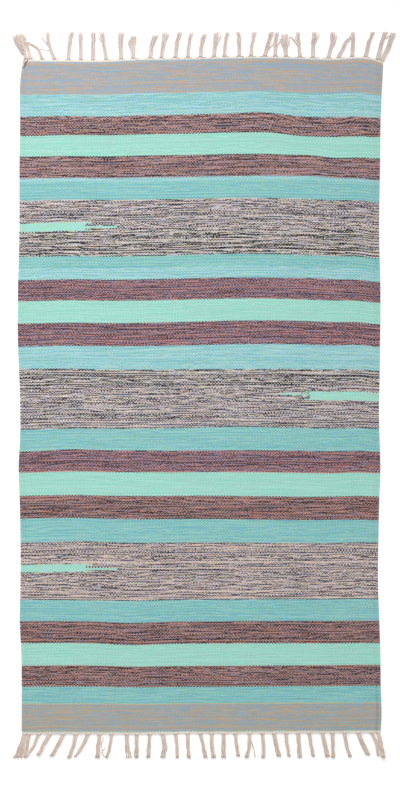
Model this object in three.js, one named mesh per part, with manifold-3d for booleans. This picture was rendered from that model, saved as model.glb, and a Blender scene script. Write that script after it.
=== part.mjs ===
// Flat-woven kilim rug, lying flat: one striped cloth with a knotted warp fringe at each end.
// Millimetres, +Z up. X runs across the rug along its wefts and +Y along its warps towards the
// head end. The origin is the middle of the underside.

import * as THREE from 'three';
import { mergeVertices } from 'three/addons/utils/BufferGeometryUtils.js';
import Module from 'manifold-3d';

const wasm = await Module();
wasm.setup();

// Driving dimensions
const CLOTH_THICKNESS = 3;
const EDGE_ROUNDING = 0.7;
const HEADING_DEPTH = 5.5;
const PIECE_GAP = 0.35;
const HEAD_TRIM = 811;
const FOOT_TRIM = -804;

// A tassel's root inside the heading, its knot, the neck beyond it, its body and its cut tip
const ROOT_DEPTH = 2.5;
const KNOT = { width: 9.5, height: 5 };
const NECK = { width: 7, height: 3.6 };
const BODY_HEIGHT = 3.4;
const TIP_HEIGHT = 2.4;

// How far a tassel runs square from the heading, and how much of its underside is cut off flat,
// as a share of its radius
const SQUARE_START = 4;
const FLAT_CUT = 0.4;

// Fineness of the facets, and how near two points are welded into one
const EDGE_STEPS = 3;
const TASSEL_SIDES = 8;
const WELD = 0.001;

// Where the striped cloth's four corners lie
const CORNERS = {
  headLeft: { x: -393, y: 744 },
  headRight: { x: 407, y: 740 },
  footLeft: { x: -395, y: -746 },
  footRight: { x: 401.5, y: -743 },
};

// The two selvedges draw in and out a little between the corners
const SELVEDGES = [
  { y: -719, left: -395, right: 403.5 },
  { y: -652, left: -395, right: 402 },
  { y: -575, left: -395.5, right: 401 },
  { y: -492, left: -399.5, right: 398.5 },
  { y: -430, left: -398, right: 396 },
  { y: -297, left: -398, right: 397 },
  { y: -225, left: -399.5, right: 398.5 },
  { y: -165, left: -402, right: 401 },
  { y: -74, left: -398, right: 398.5 },
  { y: -18, left: -398.5, right: 397.5 },
  { y: 26, left: -399.5, right: 399 },
  { y: 100, left: -403, right: 400 },
  { y: 260, left: -403, right: 401 },
  { y: 349, left: -400.5, right: 398.5 },
  { y: 533, left: -400, right: 400.5 },
  { y: 620, left: -398.5, right: 401.5 },
  { y: 672, left: -399.5, right: 403.5 },
  { y: 716, left: -397.5, right: 406 },
];

// The two ends of the striped cloth, between the corners
const ENDS = [
  { x: -310, head: 743.5, foot: -746 },
  { x: -222, head: 742.5, foot: -746 },
  { x: -133, head: 746.5, foot: -746.5 },
  { x: -44, head: 748, foot: -745 },
  { x: 90, head: 751, foot: -744.5 },
  { x: 179, head: 751, foot: -744 },
  { x: 290, head: 747, foot: -743.5 },
  { x: 383, head: 747.5, foot: -743 },
];

// The tassels from left to right: where each has its knot, its middle and its tip across the
// rug, how wide it is at its waist and at its tip, and how far short of the trim line it ends
const HEAD_TASSELS = [
  { knot: -387, middle: -398, tip: -404, waist: 15, spread: 25 },
  { knot: -376, middle: -383, tip: -391, waist: 6, spread: 6 },
  { knot: -350, middle: -368, tip: -394, waist: 7, spread: 7, short: 10 },
  { knot: -323, middle: -332, tip: -339, waist: 8, spread: 6 },
  { knot: -292, middle: -290, tip: -285, waist: 10, spread: 12 },
  { knot: -264, middle: -265, tip: -265, waist: 8, spread: 9 },
  { knot: -237, middle: -237, tip: -236, waist: 9, spread: 11 },
  { knot: -208, middle: -213, tip: -218, waist: 9, spread: 14 },
  { knot: -175, middle: -176, tip: -175, waist: 12, spread: 13 },
  { knot: -148, middle: -149, tip: -147, waist: 14, spread: 16, short: 8 },
  { knot: -110, middle: -106, tip: -98, waist: 9, spread: 14, short: 7 },
  { knot: -85, middle: -80, tip: -76, waist: 9, spread: 12 },
  { knot: -54, middle: -51, tip: -44, waist: 10, spread: 12 },
  { knot: -26, middle: -24, tip: -18, waist: 8, spread: 9 },
  { knot: 2, middle: 5, tip: 11, waist: 9, spread: 13 },
  { knot: 32, middle: 34, tip: 38, waist: 10, spread: 14 },
  { knot: 55, middle: 57, tip: 62, waist: 7, spread: 8 },
  { knot: 88, middle: 88, tip: 86, waist: 9, spread: 8 },
  { knot: 114, middle: 117, tip: 122, waist: 7, spread: 9 },
  { knot: 145, middle: 152, tip: 160, waist: 10, spread: 11 },
  { knot: 168, middle: 169, tip: 172, waist: 10, spread: 9 },
  { knot: 192, middle: 190, tip: 188, waist: 11, spread: 14 },
  { knot: 223, middle: 222, tip: 220, waist: 7, spread: 7 },
  { knot: 252, middle: 252, tip: 256, waist: 8, spread: 12 },
  { knot: 286, middle: 292, tip: 296, waist: 10, spread: 14 },
  { knot: 311, middle: 319, tip: 332, waist: 7, spread: 7 },
  { knot: 339, middle: 341, tip: 340, waist: 7, spread: 8 },
  { knot: 369, middle: 376, tip: 386, waist: 7, spread: 7 },
  { knot: 396, middle: 403, tip: 414, waist: 7, spread: 12 },
  { knot: 406, middle: 421, tip: 432, waist: 7, spread: 9 },
];

const FOOT_TASSELS = [
  { knot: -392, middle: -397, tip: -404, waist: 10, spread: 17 },
  { knot: -381, middle: -384, tip: -389, waist: 7, spread: 7 },
  { knot: -358, middle: -369, tip: -384, waist: 7, spread: 7 },
  { knot: -333, middle: -344, tip: -357, waist: 8, spread: 8, short: 7 },
  { knot: -303, middle: -314, tip: -328, waist: 9, spread: 9, short: 5 },
  { knot: -275, middle: -282, tip: -291, waist: 7, spread: 7 },
  { knot: -248, middle: -259, tip: -275, waist: 8, spread: 7, short: 5 },
  { knot: -223, middle: -225, tip: -225, waist: 9, spread: 9 },
  { knot: -196, middle: -199, tip: -207, waist: 6, spread: 6 },
  { knot: -162, middle: -162, tip: -159, waist: 10, spread: 14 },
  { knot: -140, middle: -140, tip: -141, waist: 8, spread: 9 },
  { knot: -111, middle: -113, tip: -113, waist: 9, spread: 11 },
  { knot: -82, middle: -78, tip: -82, waist: 10, spread: 11 },
  { knot: -54, middle: -51, tip: -50, waist: 7, spread: 8 },
  { knot: -27, middle: -26, tip: -24, waist: 8, spread: 9 },
  { knot: 1, middle: 8, tip: 13, waist: 9, spread: 12 },
  { knot: 27, middle: 26, tip: 31, waist: 8, spread: 10 },
  { knot: 53, middle: 53, tip: 54, waist: 10, spread: 10 },
  { knot: 79, middle: 82, tip: 85, waist: 8, spread: 8 },
  { knot: 111, middle: 111, tip: 109, waist: 9, spread: 12 },
  { knot: 139, middle: 142, tip: 141, waist: 8, spread: 8 },
  { knot: 165, middle: 171, tip: 177, waist: 8, spread: 9 },
  { knot: 192, middle: 196, tip: 199, waist: 7, spread: 7 },
  { knot: 219, middle: 221, tip: 224, waist: 9, spread: 11 },
  { knot: 243, middle: 248, tip: 253, waist: 7, spread: 7 },
  { knot: 273, middle: 279, tip: 285, waist: 9, spread: 8 },
  { knot: 295, middle: 296, tip: 297, waist: 7, spread: 8 },
  { knot: 322, middle: 327, tip: 335, waist: 6, spread: 6 },
  { knot: 354, middle: 365, tip: 376, waist: 9, spread: 9, short: 5 },
  { knot: 383, middle: 394, tip: 397, waist: 7, spread: 7, short: 5 },
  { knot: 397, middle: 404, tip: 409, waist: 7, spread: 7 },
];

// Finishes: dyed cotton wefts and undyed cotton warps
const striped = new THREE.MeshStandardMaterial({ color: 0x8fb0ae, roughness: 0.95, metalness: 0 });
const natural = new THREE.MeshStandardMaterial({ color: 0xe0cdbb, roughness: 0.9, metalness: 0 });

function smoothLine(points) {
  const curve = new THREE.SplineCurve(points.map(({ x, y }) => new THREE.Vector2(x, y)));
  return curve.getPoints(EDGE_STEPS * (points.length - 1));
}

// The edge of the striped cloth at one end, from left to right
function endEdge(end) {
  const rows = ENDS.map((row) => ({ x: row.x, y: row[end] }));
  return smoothLine([CORNERS[`${end}Left`], ...rows, CORNERS[`${end}Right`]]);
}

// One long edge of the striped cloth, from foot to head
function selvedge(side) {
  const rows = SELVEDGES.map((row) => ({ x: row[side.toLowerCase()], y: row.y }));
  return smoothLine([CORNERS[`foot${side}`], ...rows, CORNERS[`head${side}`]]);
}

// How far up the rug an end edge lies at a place across it
function levelAt(edge, x) {
  const next = Math.max(1, edge.findIndex((point) => point.x >= x));
  const before = edge[next - 1];
  const after = edge[next];
  return THREE.MathUtils.mapLinear(x, before.x, after.x, before.y, after.y);
}

// The striped cloth: a flat sheet with slightly rounded edges
function wovenField() {
  const outline = [
    ...endEdge('foot').slice(0, -1),
    ...selvedge('Right').slice(0, -1),
    ...endEdge('head').reverse().slice(0, -1),
    ...selvedge('Left').reverse().slice(0, -1),
  ];
  const sheet = new THREE.ExtrudeGeometry(new THREE.Shape(outline), {
    depth: CLOTH_THICKNESS - 2 * EDGE_ROUNDING,
    bevelThickness: EDGE_ROUNDING,
    bevelSize: EDGE_ROUNDING,
    bevelOffset: -EDGE_ROUNDING,
    bevelSegments: 1,
  });
  return sheet.translate(0, 0, EDGE_ROUNDING);
}

// The undyed heading, which follows the last stripe at a small gap
function heading(edge, outward) {
  const inner = edge.map(({ x, y }) => new THREE.Vector2(x, y + outward * PIECE_GAP));
  const outer = inner.map(({ x, y }) => new THREE.Vector2(x, y + outward * HEADING_DEPTH));
  const outline = new THREE.Shape([...inner, ...outer.reverse()]);
  return new THREE.ExtrudeGeometry(outline, { depth: CLOTH_THICKNESS, bevelEnabled: false });
}

// A tassel's sections, by their share of its length
function sectionsOf(row) {
  return [
    { along: 0, width: KNOT.width, height: CLOTH_THICKNESS },
    { along: 0.05, ...KNOT },
    { along: 0.13, ...NECK },
    { along: 0.3, width: (NECK.width + row.waist) / 2, height: BODY_HEIGHT },
    { along: 0.55, width: row.waist, height: BODY_HEIGHT },
    { along: 1, width: row.spread, height: TIP_HEIGHT },
  ];
}

// A tassel's centre line, which leaves the heading square and then leans to its tip
function tasselLine(row, seam, trim, outward) {
  const end = trim - outward * (row.short ?? 0);
  return new THREE.SplineCurve([
    new THREE.Vector2(row.knot, seam - outward * ROOT_DEPTH),
    new THREE.Vector2(row.knot, seam + outward * SQUARE_START),
    new THREE.Vector2(row.middle, (seam + end) / 2),
    new THREE.Vector2(row.tip, end),
  ]);
}

// Height of a round bar's wall at a turn of its section, with its lowest part cut off flat
function flattened(up) {
  const below = 1 - FLAT_CUT;
  return Math.max(0, (up + below) / (1 + below));
}

// One tassel: a bar laid along its line, swollen at its knot and fanned out at its tip
function tassel(row, edge, outward, trim) {
  const seam = levelAt(edge, row.knot) + outward * (PIECE_GAP + HEADING_DEPTH);
  const line = tasselLine(row, seam, trim, outward);
  const sections = sectionsOf(row);
  const steps = sections.length - 1;
  const bar = new THREE.CylinderGeometry(1, 1, steps, TASSEL_SIDES, steps);
  const place = bar.getAttribute('position');
  for (let i = 0; i < place.count; i += 1) {
    const section = sections[Math.round(place.getY(i) + steps / 2)];
    const centre = line.getPointAt(section.along);
    const ahead = line.getTangentAt(section.along);
    const across = place.getX(i) * section.width / 2;
    const up = flattened(place.getZ(i)) * section.height;
    place.setXYZ(i, centre.x + ahead.y * across, centre.y - ahead.x * across, up);
  }
  return bar;
}

function solidOf(geometry) {
  const bare = geometry.clone();
  bare.deleteAttribute('normal');
  bare.deleteAttribute('uv');
  const merged = mergeVertices(bare, WELD);
  return new wasm.Manifold(new wasm.Mesh({
    numProp: 3,
    vertProperties: new Float32Array(merged.getAttribute('position').array),
    triVerts: new Uint32Array(merged.index.array),
  }));
}

function geometryOf(solid) {
  const { vertProperties, triVerts } = solid.getMesh();
  const geometry = new THREE.BufferGeometry();
  geometry.setAttribute('position', new THREE.BufferAttribute(vertProperties, 3));
  geometry.setIndex(new THREE.BufferAttribute(triVerts, 1));
  geometry.computeVertexNormals();
  return geometry;
}

// One fringe: the heading and its tassels, joined into a comb
function fringe(end, outward, rows, trim) {
  const edge = endEdge(end);
  const tassels = rows.map((row) => solidOf(tassel(row, edge, outward, trim)));
  return geometryOf(wasm.Manifold.union([solidOf(heading(edge, outward)), ...tassels]));
}

function piece(name, geometry, material) {
  const mesh = new THREE.Mesh(geometry, material);
  mesh.name = name;
  return mesh;
}

const group = new THREE.Group();
group.add(
  piece('woven_field', wovenField(), striped),
  piece('fringe_head', fringe('head', 1, HEAD_TASSELS, HEAD_TRIM), natural),
  piece('fringe_foot', fringe('foot', -1, FOOT_TASSELS, FOOT_TRIM), natural),
);

export default group;
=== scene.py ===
# %% [markdown]
# # A striped cotton kilim with knotted fringes
#
# The rug is one flat-woven web. Undyed cotton warps run along it, packed wefts run across it and hide
# them, and at both ends the warps are knotted into tassels. It lies flat on a pale studio floor and is
# seen from straight above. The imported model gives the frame: everything here is placed in it, in metres.

import math
import random
from collections import namedtuple

import bmesh
import bpy
import numpy as np
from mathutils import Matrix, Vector


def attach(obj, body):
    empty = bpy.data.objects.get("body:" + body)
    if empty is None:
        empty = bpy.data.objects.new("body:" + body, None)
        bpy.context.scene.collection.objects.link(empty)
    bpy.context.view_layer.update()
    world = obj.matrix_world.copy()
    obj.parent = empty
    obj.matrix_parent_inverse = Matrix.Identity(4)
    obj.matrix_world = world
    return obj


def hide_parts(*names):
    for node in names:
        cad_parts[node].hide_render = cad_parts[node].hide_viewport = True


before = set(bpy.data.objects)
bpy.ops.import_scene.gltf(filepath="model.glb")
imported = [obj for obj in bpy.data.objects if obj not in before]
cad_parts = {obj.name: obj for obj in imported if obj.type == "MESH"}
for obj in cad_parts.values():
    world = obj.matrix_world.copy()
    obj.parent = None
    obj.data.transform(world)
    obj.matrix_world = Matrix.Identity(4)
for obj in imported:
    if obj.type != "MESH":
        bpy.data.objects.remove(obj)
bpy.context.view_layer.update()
scene = bpy.context.scene
print("nodes:", sorted(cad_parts))

# %% [markdown]
# ## Camera
#
# The view is straight down and almost without perspective, which a long lens far above gives. The
# picture's tall side shows a strip of floor just over 1.76 m long, so the lens follows from the height.

# %% Set the camera
VIEW_LENGTH = 1.7644
VIEW_CENTRE = Vector((0.0009, 0.0006))
CAMERA_HEIGHT = 6.0
SENSOR = 36.0

camera_data = bpy.data.cameras.new("camera")
camera_data.sensor_width = SENSOR
camera_data.lens = SENSOR * CAMERA_HEIGHT / VIEW_LENGTH
camera = bpy.data.objects.new("camera", camera_data)
camera.location = (*VIEW_CENTRE, CAMERA_HEIGHT)
scene.collection.objects.link(camera)
scene.camera = camera
print(f"lens {camera_data.lens:.1f} mm at {CAMERA_HEIGHT} m")

# %% [markdown]
# ## Shader maths
#
# The weave is a pattern worked out from thread counts, so its material needs a lot of arithmetic. A
# small class wraps a socket and lets Python's own operators add the Math nodes. Everything else goes
# through one method that takes a node's type, its settings and what its sockets get.

# %% Wrap a socket for maths
class Value:
    """A shader socket that works in Python expressions."""

    def __init__(self, tree, socket):
        self.tree = tree
        self.socket = socket

    def node(self, kind, settings=None, inputs=None, output=0):
        """Adds a node, with its settings first, and returns one of its outputs as a Value."""
        node = self.tree.nodes.new(kind)
        for name, value in (settings or {}).items():
            if name == "stops":
                fill_ramp(node.color_ramp, value)
            else:
                setattr(node, name, value)
        fill_sockets(node, inputs or {})
        return Value(self.tree, node.outputs[output])

    def maths(self, operation, *others):
        inputs = dict(enumerate([self, *others]))
        return self.node("ShaderNodeMath", {"operation": operation}, inputs)

    def __add__(self, other):
        return self.maths("ADD", other)

    __radd__ = __add__

    def __sub__(self, other):
        return self.maths("SUBTRACT", other)

    def __rsub__(self, other):
        return self.node("ShaderNodeMath", {"operation": "SUBTRACT"}, {0: other, 1: self})

    def __mul__(self, other):
        return self.maths("MULTIPLY", other)

    __rmul__ = __mul__

    def __truediv__(self, other):
        return self.maths("DIVIDE", other)

    def __lt__(self, other):
        return self.maths("LESS_THAN", other)

    def __gt__(self, other):
        return self.maths("GREATER_THAN", other)

    def part(self, axis):
        """One component of a vector or colour."""
        return self.node("ShaderNodeSeparateXYZ", inputs={0: self}, output=axis)

    def clamped(self):
        return self.node("ShaderNodeClamp", inputs={0: self})

    def wave(self):
        """A sine wave of one period per unit."""
        return (self * math.tau).maths("SINE")

    def hump(self):
        """1 in the middle of the range from 0 to 1, and 0 at both of its ends."""
        offset = 2 * self - 1
        return 1 - offset * offset

    def shaded(self, factor):
        """A colour made darker or lighter by a number."""
        return self.node("ShaderNodeVectorMath", {"operation": "SCALE"}, {0: self, "Scale": factor})

    def dyed(self, tint):
        """A colour times another colour."""
        return self.node("ShaderNodeVectorMath", {"operation": "MULTIPLY"}, {0: self, 1: tint})


print("shader maths ready")


# %% Helpers for colours and materials
def fill_sockets(node, inputs):
    """Links or sets a node's inputs."""
    for key, value in inputs.items():
        if isinstance(value, Value):
            value.tree.links.new(value.socket, node.inputs[key])
        else:
            node.inputs[key].default_value = value


def fill_ramp(ramp, stops):
    """Gives a ramp one evenly spaced plain step per colour."""
    ramp.interpolation = "CONSTANT"
    while len(ramp.elements) < len(stops):
        ramp.elements.new(0.5)
    for i, colour in enumerate(stops):
        ramp.elements[i].position = i / len(stops)
        ramp.elements[i].color = colour


def mixed(factor, first, second):
    """A colour between two others, by a factor from 0 to 1."""
    base = next(x for x in (factor, first, second) if isinstance(x, Value))
    settings = {"data_type": "RGBA"}
    return base.node("ShaderNodeMix", settings, {0: factor, 6: first, 7: second}, output=2)


def new_material(name):
    """A material with a Principled shader, and that shader and a start for its maths."""
    material = bpy.data.materials.new(name)
    material.use_nodes = True
    shader = material.node_tree.nodes["Principled BSDF"]
    return material, shader, Value(material.node_tree, None)


def linear(red, green, blue):
    """A screen colour from 0 to 255 as the linear colour that shaders take."""
    def channel(level):
        share = level / 255
        return share / 12.92 if share <= 0.04045 else ((share + 0.055) / 1.055) ** 2.4
    return (channel(red), channel(green), channel(blue), 1.0)


print("white is", linear(255, 255, 255))

# %% [markdown]
# ## Stripes and yarns
#
# A weaver works from a list of stripes: which yarn, and how deep. Most of the wefts here are marled,
# two thin strands of different colours twisted together, so each stripe needs a dark strand, a light
# strand and a second light dye that comes and goes. The warps lie 3.4 mm apart, and the wefts are
# packed so hard that one turn, there and back, takes only 2.35 mm. These two numbers set the grain of
# the whole rug and the small steps at every change of colour.

# %% List the yarns and stripes
WARPS = 236
WARP_PITCH = 0.0034
TURN_PITCH = 0.00235
# The middle of a turn above its first row, as the mean of the odd and the even warps
TURN_MIDDLE = 0.25

# share is how much of the dark strand shows, softness how gently one colour turns to the other, mottle
# how much of the second light dye comes in, and picks how far the two picks of a turn are out of step
Yarn = namedtuple("Yarn", "dark light tint share softness mottle picks")

YARNS = {
    "undyed": Yarn((206, 195, 184), (232, 224, 214), (222, 212, 200), 0.3, 1.2, 0.5, 0.6),
    # Undyed yarn again, painted lighter: painted light on the foot end's heading
    "undyed with painted light": Yarn((226, 214, 200), (252, 244, 232), (240, 230, 218), 0.3, 1.2, 0.5, 0.6),
    "sky and tan": Yarn((136, 171, 197), (209, 169, 121), (169, 156, 141), 0.50, 1.1, 0.8, 0.4),
    "dull sky and tan": Yarn((134, 168, 190), (203, 168, 118), (164, 155, 134), 0.50, 1.1, 0.8, 0.4),
    "aqua": Yarn((119, 181, 188), (175, 214, 216), (164, 210, 205), 0.45, 1.0, 0.8, 0.6),
    "teal": Yarn((106, 173, 185), (158, 205, 200), (142, 200, 182), 0.42, 1.0, 0.8, 0.6),
    "pale mint": Yarn((166, 204, 190), (214, 232, 218), (200, 222, 208), 0.3, 1.2, 0.5, 0.6),
    "mint": Yarn((141, 202, 186), (170, 221, 208), (164, 215, 199), 0.40, 1.2, 0.5, 0.6),
    "rose": Yarn((47, 40, 46), (202, 150, 142), (164, 147, 154), 0.48, 0.85, 1.0, 0.9),
    "dusky rose": Yarn((46, 39, 44), (196, 141, 130), (150, 136, 143), 0.48, 0.85, 1.0, 0.9),
    "plum": Yarn((60, 50, 60), (200, 138, 134), (144, 134, 152), 0.48, 0.85, 1.0, 0.9),
    "navy marl": Yarn((30, 30, 46), (221, 206, 198), (194, 188, 194), 0.46, 0.85, 0.9, 0.6),
    "charcoal marl": Yarn((16, 16, 24), (219, 206, 198), (190, 188, 190), 0.50, 0.75, 0.9, 0.3),
    "slate marl": Yarn((46, 44, 66), (223, 202, 188), (192, 184, 188), 0.45, 0.85, 0.9, 0.6),
}

Stripe = namedtuple("Stripe", "yarn depth")


def rows_of(kind, *rows):
    """A table's rows with their columns named."""
    return [kind(*row) for row in rows]


# From the head end to the foot end. Where a stripe was finished with a second lot, it has two rows.
STRIPES = rows_of(
    Stripe,
    ("sky and tan", 0.0712),
    ("aqua", 0.0514),
    ("rose", 0.0418),
    ("mint", 0.0472),
    ("rose", 0.0492),
    ("aqua", 0.009),
    ("teal", 0.0396),
    ("navy marl", 0.0645),
    ("charcoal marl", 0.0592),
    ("teal", 0.0276),
    ("aqua", 0.024),
    ("plum", 0.0492),
    ("mint", 0.0479),
    ("plum", 0.0518),
    ("aqua", 0.0511),
    ("charcoal marl", 0.035),
    ("navy marl", 0.098),
    ("teal", 0.0496),
    ("plum", 0.0467),
    ("mint", 0.0505),
    ("dusky rose", 0.0518),
    ("teal", 0.053),
    ("slate marl", 0.1253),
    ("teal", 0.0473),
    ("dusky rose", 0.0504),
    ("mint", 0.0498),
    ("dusky rose", 0.0461),
    ("teal", 0.0369),
    ("dull sky and tan", 0.0611),
    ("pale mint", 0.0024),
)
CLOTH_LENGTH = sum(stripe.depth for stripe in STRIPES)
TURNS = CLOTH_LENGTH / TURN_PITCH
print(f"{len(STRIPES)} lots in {CLOTH_LENGTH:.3f} m of cloth, {WARPS} warps by {TURNS:.0f} weft turns")

# %% [markdown]
# ### Small woven insets
#
# Three short mint bars run in from the selvedge, each in one of the wide marled stripes. Every bar ends
# in two short prongs and a longer thin spike between them. A table places them by thread counts.

# %% List the insets
Inset = namedtuple("Inset", "right level height body prong spike spike_lift")

# level is the bar's middle above the foot edge, and body, prong and spike reach in from the selvedge
INSETS = rows_of(
    Inset,
    (False, 1.1204, 0.018, 0.147, 0.159, 0.217, 0.0),
    (True, 0.7437, 0.018, 0.154, 0.166, 0.222, 0.0021),
    (False, 0.3617, 0.0158, 0.147, 0.16, 0.218, -0.0004),
)
PRONG_HEIGHT = 0.002
SPIKE_HEIGHT = 0.0047
print(len(INSETS), "insets")

# %% [markdown]
# ## The woven finish
#
# Painting stripes on a flat sheet would miss what makes a kilim: every visible float is a short piece of
# weft over one warp, and neighbouring floats belong to different wefts, half a row apart. So the
# material counts threads. The mesh carries the warp and weft number at every point, the shader finds
# the float it is in, and the float's weft number decides everything else: its stripe, the twist of its
# two strands, its dye. Stepped edges, dotted lines and long streaks then come out by themselves.

# %% Find the float
Float = namedtuple("Float", "column warp odd turn across along")


def find_float(start):
    """The warp and the weft turn that a point lies in, and its place inside that float."""
    weave = start.node("ShaderNodeAttribute", {"attribute_name": "weave"}, output=1)
    column, row = weave.part(0), weave.part(1)
    warp = column.maths("FLOOR")
    odd = warp.maths("FLOORED_MODULO", 2.0)
    lifted = row + odd * 0.5
    return Float(column, warp, odd, lifted.maths("FLOOR"), column.maths("FRACT"), lifted.maths("FRACT"))


def stripe_edges():
    """The weft turns at which one stripe ends and the next begins, from the head down."""
    edges = [TURNS]
    for stripe in STRIPES:
        edges.append(edges[-1] - stripe.depth / TURN_PITCH)
    return edges


print("first edges:", [round(edge, 1) for edge in stripe_edges()[:4]])


# %% Look a yarn up by its stripe
def yarn_colours(start, turn):
    """The strands' colours and habits in the stripe that a weft turn lies in."""
    level = turn + TURN_MIDDLE
    edges = stripe_edges()
    index = sum((level < edge for edge in edges[1:]), level < edges[0])
    # The head's heading is undyed yarn, and the foot's heading is undyed yarn with painted light
    names = ["undyed", *[stripe.yarn for stripe in STRIPES], "undyed with painted light"]
    yarns = [YARNS[name] for name in names]
    place = (index + 0.5) / len(yarns)

    def ramp(colours):
        return start.node("ShaderNodeValToRGB", {"stops": colours}, {0: place})

    dyes = zip(*((yarn.dark, yarn.light, yarn.tint) for yarn in yarns))
    dark, light, tint = (ramp([linear(*dye) for dye in strand]) for strand in dyes)
    habits = ramp([(yarn.share, yarn.softness / 2, yarn.mottle, 1.0) for yarn in yarns])
    picks = ramp([(yarn.picks, 0.0, 0.0, 1.0) for yarn in yarns]).part(0)
    return dark, light, tint, habits, picks


def inset_mask(warp, turn):
    """1 where a float belongs to one of the woven insets."""
    found = None
    for inset in INSETS:
        reach = (WARPS - 0.5 - warp if inset.right else warp + 0.5) * WARP_PITCH
        rise = (turn + TURN_MIDDLE) * TURN_PITCH - inset.level
        height = rise.maths("ABSOLUTE")
        body = (reach < inset.body) * (height < inset.height / 2)
        prong = (reach < inset.prong) * (height < inset.height / 2)
        prong = prong * (height > inset.height / 2 - PRONG_HEIGHT)
        spike_height = (rise - inset.spike_lift).maths("ABSOLUTE")
        spike = (reach < inset.spike) * (spike_height < SPIKE_HEIGHT / 2)
        bar = body.maths("MAXIMUM", prong).maths("MAXIMUM", spike)
        found = bar if found is None else found.maths("MAXIMUM", bar)
    return found


print("stripe lookup ready")

# %% [markdown]
# ### Marled yarn
#
# The two strands of a weft turn round each other, so now one and now the other comes up over a warp.
# Over a stretch the same strand keeps coming up and draws a streak. The twist is never quite even, so
# the streak fades into the other colour, and a weft whose twist drifts fast turns to dots. Each turn of
# weft gets its own start and its own drift from a noise fixed by its number, and its two picks differ
# a little. Strands of neighbouring wefts settle out of step, which keeps the streaks one weft thin: each
# value is pushed away from those of the two wefts beside it. The second dye follows the same drift from
# a start of its own. Slow patches, a few centimetres wide, let one strand lead for a while. SPOOL is
# where the noise begins, and another number weaves another rug of the same yarns.

# %% Twist the strands
DRIFT_WARPS = 32
DRIFT_ROW_STEP = 3.7
MOST_DRIFT = 6.5
LEAST_DRIFT = 0.1
OUT_OF_STEP = 0.7
UNEVEN = 1
SHARE_PULL = 1.3
PATCHES = 0.8
PATCH_WARPS = 40
PATCH_TURNS = 5
# How far the twist moves on within one float, across and along the rug
TWIST = (0.4, 0.2)
SPOOL = 81


def white_noise(start, **inputs):
    """Three even chances from 0 to 1, fixed by a number W or a cell Vector."""
    size = "1D" if "W" in inputs else "2D"
    return start.node("ShaderNodeTexWhiteNoise", {"noise_dimensions": size}, inputs, output=1)


def slow_noise(start, across, along, detail):
    """A soft noise around 0.5 that changes over one unit."""
    place = start.node("ShaderNodeCombineXYZ", inputs={0: across, 1: along})
    inputs = {"Vector": place, "Scale": 1.0, "Detail": detail}
    return start.node("ShaderNodeTexNoise", {"noise_dimensions": "2D"}, inputs)


def strands_up(start, weft, turn, picks):
    """How far the dark strand of a weft turn is up, and how far its second dye, from -1 to 1."""
    chance = white_noise(start, W=turn + SPOOL)
    pick = white_noise(start, W=turn * 2 + weft.odd + 0.5).part(0)
    wander = slow_noise(start, weft.column / DRIFT_WARPS, turn * DRIFT_ROW_STEP, 1.0)
    loose = chance.part(1)
    drift = (wander - 0.5) * MOST_DRIFT * (loose * loose + LEAST_DRIFT)
    return (chance.part(0) + (pick - 0.5) * picks + drift).wave(), (chance.part(2) + drift).wave()


def out_of_step(own, below, above):
    return own - (below + above) * (OUT_OF_STEP / 2)


def marl(start, weft, habits, picks, speck):
    """How much of the dark strand and of the second dye shows in a float, from 0 to 1."""
    lead = slow_noise(start, weft.column / PATCH_WARPS, weft.turn / PATCH_TURNS, 1.0)
    patch = (lead - 0.5) * PATCHES
    turns = (weft.turn, weft.turn - 1, weft.turn + 1)
    ups, dyes = zip(*(strands_up(start, weft, turn, picks) for turn in turns))
    tinted = (out_of_step(*dyes) * 0.5 + 0.5).clamped() * habits.part(2)
    bias = habits.part(0) * 2 - 1 + patch
    softness = habits.part(1) * 2
    twist = (weft.across - 0.5) * TWIST[0] + (weft.along - 0.5) * TWIST[1]
    shown = out_of_step(*ups) + bias * SHARE_PULL + (speck - 0.5) * UNEVEN + twist
    return (shown / softness * 0.5 + 0.5).clamped(), tinted


print("marl ready")

# %% [markdown]
# ### Dye, and painted shade on floats and grooves
#
# No lot of yarn is dyed evenly. Along its way a weft leans a little to rose or to sea green, and one of a
# mottled yarn also to straw or to blue, so two slow noises tint it. Over that comes painted shade for what
# the relief does to the light: a float is round, so its rim is painted darker than its middle. The shallow
# groove beside each selvedge, deeper at one corner of the foot end, and the fold that the outer warps
# press into a corner of the head end get painted shade lines here, because both are narrower than the
# mesh's own steps.

# %% Tint the dye and paint shade into the grooves
# warps is how far a streak of the tone runs, and row_start where its noise begins
Tone = namedtuple("Tone", "warps row_start one other")
ROSE_OR_GREEN = Tone(14, 0.0, (1.05, 0.975, 0.985, 1), (0.955, 1.02, 1.01, 1))
STRAW_OR_BLUE = Tone(6, 41.3, (1.02, 1.0, 0.86, 1), (0.98, 1.0, 1.14, 1))
TONE_ROW_STEP = 7.9
TONE_CONTRAST = 3

# Where the grooves begin and end, in warps from the selvedge, and how far up the deep one reaches
GROOVE = (4, 1.5)
DEEP_GROOVE = (3.2, 1.8)
DEEP_GROOVE_TURNS = 45
# The painted shadow line of the corner fold: a point on it, its slant, how wide it is and the level where
# it stops
FOLD = (-0.3826, 0.7487)
FOLD_SLANT = 0.473
FOLD_WIDTH = 0.0022
FOLD_END = 0.7315

# How much darker each of these is: the groove, its deep part, the fold and a float's rim as painted shade,
# and a speck as a random tone
GROOVE_SHADE = 0.03
DEEP_GROOVE_SHADE = 0.12
FOLD_SHADE = 0.85
RIM_SHADE = 0.18
SPECK_SHADE = 0.08


def tone_of(start, weft, tone, strength=1):
    """The tint that a tone gives a weft turn at this warp."""
    row = weft.turn * TONE_ROW_STEP + tone.row_start
    noise = slow_noise(start, weft.column / tone.warps, row, 1.0)
    streak = ((noise - 0.5) * TONE_CONTRAST + 0.5).clamped()
    return mixed(0.5 + (streak - 0.5) * strength, tone.one, tone.other)


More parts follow.
